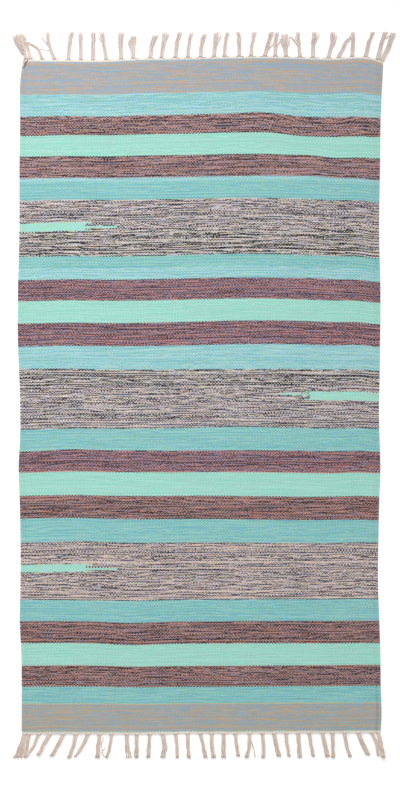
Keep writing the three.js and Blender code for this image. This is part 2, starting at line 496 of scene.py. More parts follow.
def corner_fold_shadow(start):
    """1 on the painted shadow of the fold that the outer warps press into the left corner of the head end.
    """
    where = start.node("ShaderNodeTexCoord", output=3)
    x, y = where.part(0), where.part(1)
    aside = (x - FOLD[0] - (y - FOLD[1]) * FOLD_SLANT).maths("ABSOLUTE")
    return (1 - aside / FOLD_WIDTH).clamped() * (y > FOLD_END)


def groove_shade(weft):
    """The factor by which painted shade darkens the cloth in the grooves beside the selvedges."""
    aside = (weft.column - WARPS / 2).maths("ABSOLUTE")
    groove = (aside > WARPS / 2 - GROOVE[0]) * (aside < WARPS / 2 - GROOVE[1])
    deep = (weft.column > WARPS - DEEP_GROOVE[0]) * (weft.column < WARPS - DEEP_GROOVE[1])
    deep = deep * (weft.turn < DEEP_GROOVE_TURNS)
    return (1 - GROOVE_SHADE * groove) * (1 - DEEP_GROOVE_SHADE * deep)


print("tones over", ROSE_OR_GREEN.warps, "and", STRAW_OR_BLUE.warps, "warps")

# %% Build the woven material
INSET_MINTS = (linear(170, 220, 206), linear(150, 208, 190))
FLOAT_ROUNDNESS = 0.4
FIBRE_RELIEF = 0.15


def woven_material():
    material, shader, start = new_material("woven_cotton")
    weft = find_float(start)
    dark, light, tint, habits, picks = yarn_colours(start, weft.turn)
    cell = start.node("ShaderNodeCombineXYZ", inputs={0: weft.warp, 1: weft.turn * 2 + weft.odd})
    speck = white_noise(start, Vector=cell).part(0)
    shown, tinted = marl(start, weft, habits, picks, speck)
    strands = mixed(shown, mixed(tinted, light, tint), dark)
    mint = mixed(speck * 0.5 + tinted * 0.5, *INSET_MINTS)
    strands = mixed(inset_mask(weft.warp, weft.turn), strands, mint)
    rosy = tone_of(start, weft, ROSE_OR_GREEN)
    straw = tone_of(start, weft, STRAW_OR_BLUE, habits.part(2) * 2 - 1)

    across = 1 - FLOAT_ROUNDNESS + FLOAT_ROUNDNESS * weft.across.hump()
    bulge = weft.along.hump().maths("POWER", 0.5) * across
    # Painted shade: a float's rim, the selvedge grooves and the corner fold are darker. The speck is a
    # random tone.
    shade = (1 - RIM_SHADE + RIM_SHADE * bulge) * (1 + SPECK_SHADE * (speck - 0.5))
    shade = shade * groove_shade(weft) * (1 - FOLD_SHADE * corner_fold_shadow(start))
    fibres = (weft.across * 2 + weft.along * 3).wave() * 0.5 + 0.5
    relief = bulge * (1 + FIBRE_RELIEF * fibres)
    bump = start.node("ShaderNodeBump", inputs={"Strength": 0.7, "Distance": 0.0005, "Height": relief})
    surface = {
        "Base Color": strands.shaded(shade).dyed(rosy).dyed(straw),
        "Normal": bump,
        "Roughness": 0.92,
        "Specular IOR Level": 0.2,
        "Sheen Weight": 0.08,
        "Sheen Roughness": 0.5,
    }
    fill_sockets(shader, surface)
    return material


woven_cotton = woven_material()
print("woven_cotton has", len(woven_cotton.node_tree.nodes), "nodes")

# %% [markdown]
# ## The shape of the web
#
# A handwoven web is never quite straight. Its selvedges draw in and out, its ends bow, and where the
# warps were slack the wefts ride up and every stripe bends with them. Short tables hold those places.
# A smooth line through the selvedge and end points gives the outline, and soft round rises bend the
# rows inside it.

# %% Tables of the outline and the bent rows
Side = namedtuple("Side", "y left right")
Edge = namedtuple("Edge", "x head foot")
Rise = namedtuple("Rise", "x y wide long rise")

SELVEDGES = rows_of(
    Side,
    (-0.746, -0.395, 0.4015),
    (-0.719, -0.395, 0.4035),
    (-0.652, -0.395, 0.402),
    (-0.575, -0.3955, 0.401),
    (-0.492, -0.3995, 0.3985),
    (-0.43, -0.398, 0.396),
    (-0.297, -0.398, 0.397),
    (-0.225, -0.3995, 0.3985),
    (-0.165, -0.402, 0.401),
    (-0.074, -0.398, 0.3985),
    (-0.018, -0.3985, 0.3975),
    (0.026, -0.3995, 0.399),
    (0.1, -0.403, 0.4),
    (0.26, -0.403, 0.401),
    (0.349, -0.4005, 0.3985),
    (0.533, -0.4, 0.4005),
    (0.62, -0.3985, 0.4015),
    (0.672, -0.3995, 0.4035),
    (0.716, -0.3975, 0.406),
    (0.744, -0.393, 0.407),
)

ENDS = rows_of(
    Edge,
    (-0.393, 0.744, -0.746),
    (-0.31, 0.7435, -0.746),
    (-0.222, 0.7425, -0.746),
    (-0.133, 0.7465, -0.7465),
    (-0.044, 0.748, -0.745),
    (0.09, 0.751, -0.7445),
    (0.179, 0.751, -0.744),
    (0.29, 0.747, -0.7435),
    (0.383, 0.7475, -0.743),
    (0.407, 0.74, -0.743),
)

# Places where the wefts ride up, or sag where the rise is negative
RISES = rows_of(
    Rise,
    (-0.27, 0.1, 0.11, 0.75, 0.0042),
    (0.06, 0.35, 0.17, 0.33, 0.0028),
    (0.41, 0.3, 0.075, 0.42, -0.006),
    (0.135, 0.635, 0.045, 0.03, 0.004),
    (0.165, 0.588, 0.045, 0.03, 0.002),
    (0.245, 0.54, 0.035, 0.03, 0.0035),
    (0.265, 0.491, 0.05, 0.03, 0.0045),
    (0.23, 0.6, 0.075, 0.05, -0.007),
    (0.32, 0.53, 0.08, 0.042, -0.0052),
    (0.35, 0.61, 0.055, 0.055, -0.0045),
    (-0.4, 0.672, 0.05, 0.025, -0.0025),
    (0.25, 0.14, 0.2, 0.05, 0.0032),
    (0.42, 0.105, 0.08, 0.04, 0.0025),
    (0.1, 0.06, 0.14, 0.035, -0.0024),
    (0.06, -0.07, 0.13, 0.04, 0.0028),
    (0.4, -0.07, 0.08, 0.03, 0.0025),
    (-0.27, -0.12, 0.07, 0.035, 0.0032),
    (0.2, -0.25, 0.16, 0.1, -0.004),
    (0.4, -0.27, 0.07, 0.04, -0.0028),
    (-0.27, -0.325, 0.05, 0.025, 0.0028),
    (-0.25, -0.455, 0.1, 0.05, -0.0025),
    (0.05, -0.56, 0.25, 0.14, -0.002),
    (-0.15, -0.53, 0.06, 0.06, -0.003),
    (-0.38, 0.58, 0.06, 0.03, -0.0018),
    (-0.25, 0.435, 0.15, 0.03, 0.0018),
    (-0.39, 0.38, 0.07, 0.02, -0.002),
    (0.05, 0.52, 0.1, 0.06, -0.0016),
    (0.25, 0.27, 0.05, 0.03, 0.0022),
    (-0.4, 0.062, 0.1, 0.03, 0.003),
    (-0.33, -0.07, 0.1, 0.03, -0.0016),
    (-0.13, -0.13, 0.06, 0.035, 0.002),
    (0.3, -0.165, 0.15, 0.03, -0.0015),
    (-0.36, -0.26, 0.12, 0.04, 0.002),
    (0.35, -0.53, 0.14, 0.045, -0.002),
)
print(len(SELVEDGES), "selvedge points,", len(RISES), "bent places")


# %% Lines through the tables
def smooth_path(points, counts):
    """Points on a smooth line through the given ones, with so many steps in each stretch."""
    points = np.array(points, float)
    gaps = np.linalg.norm(np.diff(points, axis=0), axis=1)
    place = np.concatenate([[0.0], np.cumsum(gaps)])
    slopes = np.gradient(points, place, axis=0)
    found = [points[:1]]
    for i, count in enumerate(counts):
        t = np.linspace(0, 1, count + 1)[1:, None]
        ahead = gaps[i]
        found.append(
            (2 * t**3 - 3 * t**2 + 1) * points[i]
            + (t**3 - 2 * t**2 + t) * ahead * slopes[i]
            + (3 * t**2 - 2 * t**3) * points[i + 1]
            + (t**3 - t**2) * ahead * slopes[i + 1]
        )
    return np.concatenate(found)


def line_of(rows, along, value):
    """A smooth line through two columns of a table, as places and values."""
    points = smooth_path([(getattr(r, along), getattr(r, value)) for r in rows], [6] * (len(rows) - 1))
    return points[:, 0], points[:, 1]


LEFT = line_of(SELVEDGES, "y", "left")
RIGHT = line_of(SELVEDGES, "y", "right")
HEAD = line_of(ENDS, "x", "head")
FOOT = line_of(ENDS, "x", "foot")

print("head edge at the middle:", round(float(np.interp(0, *HEAD)), 4))

# %% Find a crossing on the web
# The right corner of the head end is drawn in, but only its last few centimetres follow
CORNER = 0.383
CORNER_FADE = 40
FOOT_LEVEL = -0.745
WEB_SPAN = 1.492
RISE_FADE = 3


def on_web(column, row):
    """Where a warp and a weft row cross, across and along the rug."""
    across = column / WARPS
    along = row / TURNS
    level = FOOT_LEVEL + WEB_SPAN * along
    x = np.interp(level, *LEFT) * (1 - across) + np.interp(level, *RIGHT) * across
    head = np.interp(x, *HEAD)
    drawn_in = np.where(x > CORNER, np.interp(CORNER, *HEAD) - head, 0)
    y = np.interp(x, *FOOT) * (1 - along) + (head + drawn_in * (1 - along**CORNER_FADE)) * along
    inside = 4 * along * (1 - along)
    fade = np.minimum(1, RISE_FADE * inside)
    for r in RISES:
        y = y + fade * r.rise * np.exp(-(((x - r.x) / r.wide) ** 2) - ((y - r.y) / r.long) ** 2)
    return x, y


print("head end, right corner:", [round(float(place), 3) for place in on_web(WARPS, TURNS)])

# %% [markdown]
# ## Weaving the web
#
# The web is one closed sheet. A grid is extruded into a slab, the slab's rim gets a middle row so that it
# can be rounded, and then every vertex moves to its place in the cloth. Four columns of faces per warp are
# just enough to shape the rib that each warp makes under the wefts. The first and last rows of faces are
# short, so that the smooth shading of the rounded rim stays at the rim. The two faces mirror each other,
# because a kilim looks alike on both, and so they share one half of the work: a flat map named OFBake, for
# baking the colours, lays one over the other. Around them the rim has a narrow strip of its own.

# %% Make a flat slab
def mesh_of(bm, name):
    """Ends a bmesh and gives what it holds as a mesh."""
    mesh = bpy.data.meshes.new(name)
    bm.to_mesh(mesh)
    bm.free()
    return mesh


def slab(name, columns, rows):
    """A flat grid with a thickness: x and y run from 0 to 1, and z is 0, a half or 1."""
    bm = bmesh.new()
    bmesh.ops.create_grid(bm, x_segments=columns, y_segments=rows, size=0.5)
    lower = bm.faces[:]
    raised = bmesh.ops.extrude_face_region(bm, geom=lower, use_keep_orig=True)["geom"]
    bmesh.ops.translate(bm, verts=[v for v in raised if isinstance(v, bmesh.types.BMVert)], vec=(0, 0, 1))
    rim = [e for e in bm.edges if abs(e.verts[0].co.z - e.verts[1].co.z) > 0.5]
    bmesh.ops.subdivide_edges(bm, edges=rim, cuts=1)
    bmesh.ops.translate(bm, verts=bm.verts[:], vec=(0.5, 0.5, 0))
    bmesh.ops.recalc_face_normals(bm, faces=bm.faces[:])
    return mesh_of(bm, name)


def read(items, name, size, kind=np.float32):
    """One property of a mesh's vertices or face corners, as a row of numbers each."""
    values = np.empty(len(items) * size, kind)
    items.foreach_get(name, values)
    return values.reshape(-1, size)


def write(items, name, values):
    items.foreach_set(name, values.astype(np.float32).ravel())


def lay_mesh(mesh, places, name, facts, flat):
    """Moves the vertices, and stores facts about them for the materials and a flat map for the bake."""
    write(mesh.vertices, "co", places)
    mesh.update()
    write(mesh.attributes.new(name, "FLOAT_VECTOR", "POINT").data, "vector", facts)
    write(mesh.uv_layers.new(name="OFBake").data, "uv", flat)


def new_object(name, mesh, material):
    mesh.shade_smooth()
    mesh.materials.append(material)
    piece = bpy.data.objects.new(name, mesh)
    scene.collection.objects.link(piece)
    return piece


FACES_PER_WARP = 4
LENGTH_STEPS = 50
web_mesh = slab("striped_web", FACES_PER_WARP * WARPS, LENGTH_STEPS)
print("slab:", len(web_mesh.polygons), "faces")

# %% Weave the slab
CLOTH_THICKNESS = 0.003
RIB_DEPTH = 0.36
RIB_ROUNDNESS = 0.7
END_STEP = 0.002
RIM_BULGE = 0.0007
MAP_RIM = 0.004
LIE_HEIGHT = 0.0004
LIE_ACROSS = 7.1
LIE_ALONG = 5.3
LIE_BEND = 1.3
LIE_BEND_ALONG = 3.1
LIE_START = 0.7


def gentle_lie(x, y):
    """How far the cloth stands off the floor, in a few long soft waves."""
    across = np.sin(x * LIE_ACROSS + LIE_BEND * np.sin(y * LIE_BEND_ALONG))
    return LIE_HEIGHT * (1 + across * np.sin(y * LIE_ALONG + LIE_START))


def weave(mesh, first_row, last_row, thickness, map_from=0.0):
    """Moves a slab to its place in the cloth, ribbed over the warps, and counts its threads."""
    share = read(mesh.vertices, "co", 3).astype(float)
    step = 1 / LENGTH_STEPS
    share[:, 1] = np.interp(share[:, 1], (0, step, 1 - step, 1), (0, END_STEP, 1 - END_STEP, 1))
    column = share[:, 0] * WARPS
    row = first_row + share[:, 1] * (last_row - first_row)
    x, y = on_web(column, row)
    rib = np.abs(np.sin(math.pi * column)) ** RIB_ROUNDNESS
    half = thickness / 2 * (1 - RIB_DEPTH + RIB_DEPTH * rib)
    side = 2 * share[:, 2] - 1
    z = thickness / 2 + side * half + gentle_lie(x, y)
    flat = share[:, :2]
    outward = (1 * (flat == 1) - (flat == 0)) * (side == 0)[:, None]
    flat = MAP_RIM + (1 - 2 * MAP_RIM) * flat + MAP_RIM * outward
    flat[:, 1] = map_from + (1 - map_from) * flat[:, 1]
    corners = read(mesh.loops, "vertex_index", 1, np.int32)[:, 0]
    places = np.column_stack([np.stack([x, y], 1) + outward * RIM_BULGE, z])
    lay_mesh(mesh, places, "weave", np.stack([column, row, side], 1), flat[corners])


weave(web_mesh, 0, TURNS, CLOTH_THICKNESS)
web = new_object("striped_web", web_mesh, woven_cotton)
print("web:", [round(size, 3) for size in web.dimensions], "m")

# %% [markdown]
# ## The undyed finish
#
# The warps show only in the fringes. They are undyed cotton cord of three plies, so the material turns
# three soft ridges round each strand and paints shade into the grooves between them. The strands carry
# their own coordinates, once round and once along, and a number each that varies their shade a little.
# Each strand gets painted shade near its root and painted light towards its tip. The foot end's cotton is
# painted slightly warmer and lighter, and that lightening is painted light. The knots are painted browner,
# a painted shade for the little light that gets between their tight cords, and less so at the foot end.

# %% Build the cotton cord material
PLIES = 3
COTTONS = (linear(218, 204, 193), linear(226, 213, 203))
BLOTCHED = linear(216, 192, 176)
BLOTCHES = 0.5
# The painted shade of the knots: its brown and how far it goes
KNOT_SHADOW_COLOUR = linear(172, 130, 110)
KNOT_SHADOW_DEPTH = 0.24
# The painted shade in the grooves between the plies, then the random fuzz's tone and relief
GROOVES_SHADE = 0.13
FUZZ_SHADE = 0.12
FUZZ_RELIEF = 0.4
# Painted shade at a strand's root and painted light at its tip
ROOT_SHADE = 0.88
TIP_LIGHT = 1.05
# The head end is a little bluer. The foot end is painted warmer and lighter, and the lightening is painted
# light.
HEAD_TINT = (1.0, 1.0, 1.03, 1)
FOOT_WARMTH_AND_LIGHT = (1.04, 1.02, 1.0, 1)


def cord_material():
    material, shader, start = new_material("undyed_cotton")
    turn = start.node("ShaderNodeUVMap", {"uv_map": "cord"})
    strand = start.node("ShaderNodeAttribute", {"attribute_name": "strand"}, output=1)
    shade_of, plies, knotted = (strand.part(axis) for axis in range(3))
    # The grooves between the plies get painted shade, and the ridges also shape the bump
    ridge = ((turn.part(0) * PLIES + turn.part(1) * plies).wave() * 0.5 + 0.5).maths("POWER", 0.6)
    where = start.node("ShaderNodeTexCoord", output=3)
    fuzz = start.node("ShaderNodeTexNoise", inputs={"Vector": where, "Scale": 900.0, "Detail": 2.0})
    blotch = start.node("ShaderNodeTexNoise", inputs={"Vector": where, "Scale": 60.0, "Detail": 1.0})
    toned = mixed(blotch * BLOTCHES, mixed(shade_of, *COTTONS), BLOTCHED)
    # The knot windings get painted shade, a browner colour
    toned = mixed(knotted * KNOT_SHADOW_DEPTH, toned, KNOT_SHADOW_COLOUR)
    # Painted shade towards the root, painted light towards the tip
    root_shade_tip_light = ROOT_SHADE + (TIP_LIGHT - ROOT_SHADE) * turn.part(1)
    shade = (1 - GROOVES_SHADE + GROOVES_SHADE * ridge) * (1 + FUZZ_SHADE * (fuzz - 0.5)) * root_shade_tip_light
    relief = ridge + fuzz * FUZZ_RELIEF
    bump = start.node("ShaderNodeBump", inputs={"Strength": 0.6, "Distance": 0.0003, "Height": relief})
    surface = {
        # The foot end's cords get a warmer tone and painted light
        "Base Color": toned.shaded(shade).dyed(mixed(where.part(1) < 0, HEAD_TINT, FOOT_WARMTH_AND_LIGHT)),
        "Normal": bump,
        "Roughness": 0.9,
        "Specular IOR Level": 0.2,
        "Sheen Weight": 0.1,
    }
    fill_sockets(shader, surface)
    return material


undyed_cotton = cord_material()
print("undyed_cotton has", len(undyed_cotton.node_tree.nodes), "nodes")

# %% [markdown]
# ## Tassels
#
# Beyond the last stripe comes a narrow undyed heading, and then the warps leave the weave. About eight
# at a time run sideways along the heading to the nearest knot and come out of it as a tassel, combed
# flat on the floor. The knots are nearly even, but each tassel fell its own way, so a table gives every
# one its knot, its middle, its tip and how wide it lies at those two. short is what its end lacks, slant
# how much more its left side lacks, and via holds the bends of a kinked one.

# %% Table of tassels
Tassel = namedtuple("Tassel", "knot middle tip waist spread short slant via", defaults=(0.0, 0.0, ()))

HEAD_TASSELS = rows_of(
    Tassel,
    (-0.386, -0.396, -0.406, 0.017, 0.027, 0.0, 0.008),
    (-0.376, -0.3835, -0.3915, 0.005, 0.005, 0.006),
    (-0.35, -0.366, -0.39, 0.006, 0.006, 0.02, 0.0, ((-0.3585, 0.7735), (-0.3707, 0.7826))),
    (-0.323, -0.335, -0.3395, 0.007, 0.008),
    (-0.292, -0.29, -0.285, 0.009, 0.011),
    (-0.264, -0.265, -0.265, 0.008, 0.009),
    (-0.237, -0.237, -0.236, 0.008, 0.01),
    (-0.208, -0.213, -0.218, 0.008, 0.012),
    (-0.175, -0.176, -0.175, 0.009, 0.013),
    (-0.148, -0.149, -0.147, 0.015, 0.014, 0.008),
    (-0.11, -0.106, -0.098, 0.009, 0.013, 0.007),
    (-0.085, -0.081, -0.077, 0.009, 0.012),
    (-0.054, -0.051, -0.044, 0.009, 0.011),
    (-0.026, -0.024, -0.018, 0.007, 0.009),
    (0.002, 0.005, 0.011, 0.009, 0.01, 0.004),
    (0.032, 0.034, 0.038, 0.01, 0.013),
    (0.055, 0.057, 0.062, 0.007, 0.008),
    (0.088, 0.088, 0.086, 0.011, 0.01),
    (0.114, 0.117, 0.122, 0.007, 0.01),
    (0.145, 0.153, 0.16, 0.009, 0.01),
    (0.168, 0.169, 0.172, 0.008, 0.009),
    (0.192, 0.19, 0.189, 0.011, 0.014, 0.004),
    (0.223, 0.221, 0.218, 0.007, 0.01),
    (0.252, 0.252, 0.256, 0.007, 0.01),
    (0.286, 0.294, 0.296, 0.01, 0.013),
    (0.309, 0.32, 0.338, 0.008, 0.006, 0.008, 0.0, ((0.3165, 0.7705), (0.326, 0.789))),
    (0.339, 0.341, 0.341, 0.008, 0.008),
    (0.369, 0.376, 0.386, 0.007, 0.007),
    (0.396, 0.404, 0.413, 0.007, 0.01),
    (0.406, 0.421, 0.431, 0.009, 0.01, 0.002),
)

FOOT_TASSELS = rows_of(
    Tassel,
    (-0.39, -0.397, -0.4045, 0.012, 0.019),
    (-0.379, -0.384, -0.3885, 0.007, 0.007),
    (-0.358, -0.37, -0.386, 0.007, 0.007, 0.002),
    (-0.333, -0.348, -0.359, 0.008, 0.008, 0.005),
    (-0.303, -0.317, -0.33, 0.009, 0.009, 0.004),
    (-0.275, -0.282, -0.291, 0.007, 0.008),
    (-0.248, -0.261, -0.277, 0.008, 0.007, 0.003),
    (-0.223, -0.226, -0.227, 0.008, 0.009),
    (-0.196, -0.2, -0.207, 0.007, 0.007),
    (-0.162, -0.161, -0.157, 0.009, 0.013),
    (-0.14, -0.14, -0.141, 0.008, 0.009),
    (-0.111, -0.113, -0.114, 0.009, 0.01),
    (-0.083, -0.078, -0.083, 0.01, 0.011),
    (-0.054, -0.051, -0.05, 0.007, 0.008),
    (-0.027, -0.026, -0.024, 0.008, 0.009),
    (0.001, 0.008, 0.013, 0.008, 0.01),
    (0.027, 0.027, 0.032, 0.008, 0.01),
    (0.053, 0.053, 0.053, 0.01, 0.01),
    (0.079, 0.082, 0.086, 0.008, 0.008, 0.003),
    (0.111, 0.11, 0.104, 0.008, 0.01),
    (0.139, 0.142, 0.141, 0.008, 0.009),
    (0.165, 0.171, 0.177, 0.008, 0.009, 0.003),
    (0.192, 0.195, 0.199, 0.007, 0.008, 0.003),
    (0.219, 0.221, 0.223, 0.009, 0.011),
    (0.243, 0.248, 0.253, 0.007, 0.008, 0.003),
    (0.273, 0.279, 0.284, 0.009, 0.009, 0.002),
    (0.295, 0.296, 0.297, 0.007, 0.008),
    (0.322, 0.327, 0.335, 0.006, 0.007, 0.002),
    (0.352, 0.364, 0.375, 0.01, 0.01, 0.006),
    (0.383, 0.394, 0.397, 0.007, 0.007, 0.005),
    (0.397, 0.404, 0.409, 0.008, 0.009),
)

print(len(HEAD_TASSELS), "tassels at the head,", len(FOOT_TASSELS), "at the foot")

# %% Table of loose strands
# Strands that left their tassel: where each starts, bends and ends, and how many lie together.
# The first row of the head end is the bundle of outer warps that lies over the cloth's corner.
Stray = namedtuple("Stray", "x1 y1 x2 y2 x3 y3 count height", defaults=(0.0011,))

HEAD_STRAYS = rows_of(
    Stray,
    (-0.3922, 0.7335, -0.3908, 0.743, -0.3888, 0.758, 3, 0.0042),
    (-0.3925, 0.762, -0.408, 0.786, -0.4135, 0.8005, 5),
    (-0.3945, 0.77, -0.4045, 0.789, -0.408, 0.8065, 5),
    (0.4145, 0.797, 0.4225, 0.8045, 0.431, 0.807, 2),
    (0.15, 0.77, 0.163, 0.785, 0.17, 0.803, 2),
    (0.168, 0.773, 0.177, 0.788, 0.183, 0.8, 2),
    (0.19, 0.768, 0.184, 0.783, 0.178, 0.798, 2),
    (-0.358, 0.7742, -0.347, 0.7722, -0.334, 0.7712, 1),
    (-0.336, 0.78, -0.343, 0.789, -0.352, 0.801, 2),
    (-0.265, 0.785, -0.268, 0.795, -0.2705, 0.806, 1),
    (-0.214, 0.78, -0.219, 0.792, -0.2255, 0.8015, 2),
    (-0.149, 0.77, -0.1585, 0.783, -0.155, 0.797, 2),
    (-0.081, 0.78, -0.074, 0.794, -0.068, 0.808, 2),
    (-0.083, 0.776, -0.084, 0.79, -0.079, 0.803, 1),
    (0.034, 0.776, 0.042, 0.79, 0.048, 0.8075, 2),
    (0.189, 0.774, 0.199, 0.787, 0.1985, 0.8, 2),
    (0.19, 0.772, 0.181, 0.786, 0.183, 0.802, 2),
    (0.222, 0.773, 0.212, 0.79, 0.2015, 0.802, 3),
    (0.22, 0.781, 0.214, 0.795, 0.2115, 0.806, 1),
    (0.253, 0.778, 0.26, 0.793, 0.2655, 0.807, 2),
    (0.29, 0.768, 0.301, 0.787, 0.3045, 0.805, 2),
    (0.331, 0.797, 0.338, 0.8005, 0.342, 0.794, 2),
)

FOOT_STRAYS = rows_of(
    Stray,
    (-0.393, -0.757, -0.399, -0.775, -0.412, -0.803, 2),
    (-0.388, -0.757, -0.392, -0.78, -0.396, -0.801, 2),
    (-0.2138, -0.757, -0.2183, -0.7795, -0.2116, -0.8, 1),
    (-0.21, -0.78, -0.2165, -0.79, -0.2125, -0.802, 1),
    (-0.16, -0.776, -0.155, -0.79, -0.151, -0.803, 2),
    (0.114, -0.764, 0.1195, -0.78, 0.1235, -0.801, 2),
    (0.281, -0.775, 0.286, -0.787, 0.289, -0.799, 1),
    (0.394, -0.762, 0.399, -0.78, 0.404, -0.8, 1),
)
print(sum(stray.count for stray in HEAD_STRAYS + FOOT_STRAYS), "loose strands")

# %% [markdown]
# ### One strand
#
# Every strand is the same short tube, bent along its own line. The tube is a five-sided cylinder cut
# into twelve lengths, so a few hundred of them stay light, and the twist of the plies is left to the
# material. All strands of a fringe are joined before they are bent, which keeps that to one step. Each
# tube has its own narrow strip of the fringe's flat map, with its two caps at the strip's ends.

# %% Make the strands' tube
TUBE_SIDES = 5
TUBE_STEPS = 12
CAP_SHARE = 0.04
PLY_PITCH = 0.0075


def tube_mesh():
    """A straight tube of radius 1 with z from 0 to 1, and its once-round map."""
    bm = bmesh.new()
    bmesh.ops.create_cone(bm, cap_ends=True, segments=TUBE_SIDES, radius1=1, radius2=1, depth=1)
    walls = [e for e in bm.edges if abs(e.verts[0].co.z - e.verts[1].co.z) > 0.5]
    bmesh.ops.subdivide_edges(bm, edges=walls, cuts=TUBE_STEPS - 1)
    bmesh.ops.translate(bm, verts=bm.verts[:], vec=(0, 0, 0.5))
    # Bending mirrors the tube, so its faces start out turned inwards
    bmesh.ops.reverse_faces(bm, faces=bm.faces[:])
    cord = bm.loops.layers.uv.new("cord")
    for face in bm.faces:
        turns = [math.atan2(c.vert.co.y, c.vert.co.x) / math.tau % 1 for c in face.loops]
        crosses = max(turns) - min(turns) > 0.5
        for corner, turn in zip(face.loops, turns):
            x, y, z = corner.vert.co
            if len(turns) == TUBE_SIDES:
                corner[cord].uv = (0.5 + 0.5 * x, z + (z - 0.5) * CAP_SHARE * (1 + y))
            else:
                corner[cord].uv = (turn + 1 if crosses and turn < 0.5 else turn, z)
    return mesh_of(bm, "tube")


tube = tube_mesh()
print("tube:", len(tube.polygons), "faces")

# %% Bend tubes along their lines
Cord = namedtuple("Cord", "line radius shade knotted", defaults=(0,))
MAP_COLUMNS = 64
MAP_MARGIN = 0.06
CORD_MAP_SHARE = 0.94
HEADING_MAP_FROM = 0.95


def laid_side_by_side(mesh, count):
    """A flat place of its own for each tube of a mesh: rows of narrow upright strips."""
    places = read(mesh.uv_layers["cord"].data, "uv", 2)
    around, along = np.moveaxis(places.reshape(count, -1, 2), 2, 0)
    row, column = np.divmod(np.arange(count)[:, None], MAP_COLUMNS)
    rows = row.max() + 1
    inner = 1 - 2 * MAP_MARGIN
    u = (column + MAP_MARGIN + inner * around) / MAP_COLUMNS
    v = (row + MAP_MARGIN + inner * along) / rows * CORD_MAP_SHARE
    return np.stack([u, v], 2)


def bend_tubes(name, cords):
    """One mesh with a tube along each cord's line of TUBE_STEPS + 1 points."""
    bm = bmesh.new()
    for _ in cords:
        bm.from_mesh(tube)
    mesh = mesh_of(bm, name)
    lines = np.array([cord.line for cord in cords])
    ahead = np.gradient(lines, axis=1)
    ahead /= np.linalg.norm(ahead, axis=2, keepdims=True)
    side = np.cross(ahead, (0.0, 0.0, 1.0))
    side /= np.maximum(np.linalg.norm(side, axis=2, keepdims=True), 1e-6)
    up = np.cross(side, ahead)
    local = read(tube.vertices, "co", 3).astype(float)
    step = np.rint(local[:, 2] * TUBE_STEPS).astype(int)
    thick = np.array([cord.radius for cord in cords])[:, None, None]
    places = lines[:, step]
    places = places + thick * (side[:, step] * local[:, 0, None] + up[:, step] * local[:, 1, None])
    length = np.linalg.norm(np.diff(lines, axis=1), axis=2).sum(1)
    facts = [(c.shade, size / PLY_PITCH, c.knotted) for c, size in zip(cords, length)]
    facts = np.repeat(facts, len(local), axis=0)
    lay_mesh(mesh, places, "strand", facts, laid_side_by_side(mesh, len(cords)))
    return mesh


print("a twist every", PLY_PITCH, "m")

# %% [markdown]
# ### The fringe of one end
#
# Each warp of the web goes to the knot nearest to it. Its line starts inside the heading, runs straight
# along it to the knot, passes through, and then follows the tassel, at its own place in the fan. Where
# the bundle is too narrow for all its strands to lie side by side, they lie in two or three layers. The
# strands wave a little from the weave they were meant for, and most tassels part into two or three
# bundles. The three outer warps of each side are laid fivefold, as they are in a strong selvedge, so the
# corner tassels are full. A knot is three short windings round the bundle, slanted as an overhand knot
# slants them. The head end has the deeper heading, and its knots sit further out than the foot end's.

# %% Sizes of the strands and knots
STRAND_RADIUS = 0.00085
THICKNESSES = (0.9, 1.15)
# In radii: how far apart strands lie side by side, and how high the lowest layer and each next one
BESIDE = 1.7
LOWEST_LAYER = 1.05
LAYER_STEP = 1.5

# From the web to the knot: the root lies inside the heading, and the run goes along it
ROOT_SHARE = 0.6
ROOT_HEIGHT = 0.0015
RUN_HEIGHT = 0.0017
RUN_LAYERS = 3
RUN_LAYER = 0.0004
RUN_VARIES = 0.0005
RUN_RISE = 0.0003
RUN_PULL = 0.15
ASIDE_SHARE = 0.7
MOST_ASIDE = 0.004

# From the knot to the tip
KNOT_WIDTH = 0.0072
NECK_WIDTH = 0.0074
NECK_REACH = 0.0035
NECK_HEIGHT = 0.0022
NECK_LEAN = 0.14
PARTINGS = (-0.05, 0.03, 0.06)
UNEVEN_FAN = 0.4
UNEVEN_PLACE = 0.3
UNEVEN_TIPS = 0.0015
SWAY = 0.0005
SHARED_WAVES = 2.2
OWN_WAVES = 1.8
SWAY_GROWS = 3

# The tube's steps between a line's points, with one bend or two, and the step where it begins to sway
STRAIGHT_STEPS = (1, 2, 1, 1, 3, 4)
KINKED_STEPS = (1, 2, 1, 1, 2, 2, 3)
SWAYS_FROM = 5

WINDINGS = 3
WINDING_RADIUS = 0.004
WINDING_HEIGHT = 0.0021
WINDING_RISE = 0.0012
WINDING_PITCH = 0.0008
WINDING_SLANT = 0.0009
WINDING_ROUND = (-0.5, 0.62)

OUTER_WARPS = 3
OUTER_CORDS = 5
print("strands", 2 * STRAND_RADIUS, "m thick")


# %% Lay out the strands
def layered(rank, count, width):
    """The height of a strand in a bundle of a certain width."""
    layers = max(1, math.ceil(count * BESIDE * STRAND_RADIUS / width))
    return STRAND_RADIUS * (LOWEST_LAYER + LAYER_STEP * (rank % layers))


def waved(line, first, sway, chance):
    """Lets a line sway sideways from a certain step on, with its tassel and by itself."""
    share = np.clip((np.arange(len(line)) - first) / (len(line) - 1 - first), 0, 1)
    wave = np.sin(math.tau * (share * SHARED_WAVES + sway))
    wave += np.sin(math.tau * (share * OWN_WAVES + chance.random()))
    line[:, 0] += SWAY * np.minimum(1, share * SWAY_GROWS) * wave
    line[:, 2] = np.maximum(line[:, 2], STRAND_RADIUS)
    return line


def knot_level(tassel, end):
    return float(np.interp(tassel.knot, *end.edge)) + end.outward * end.knot


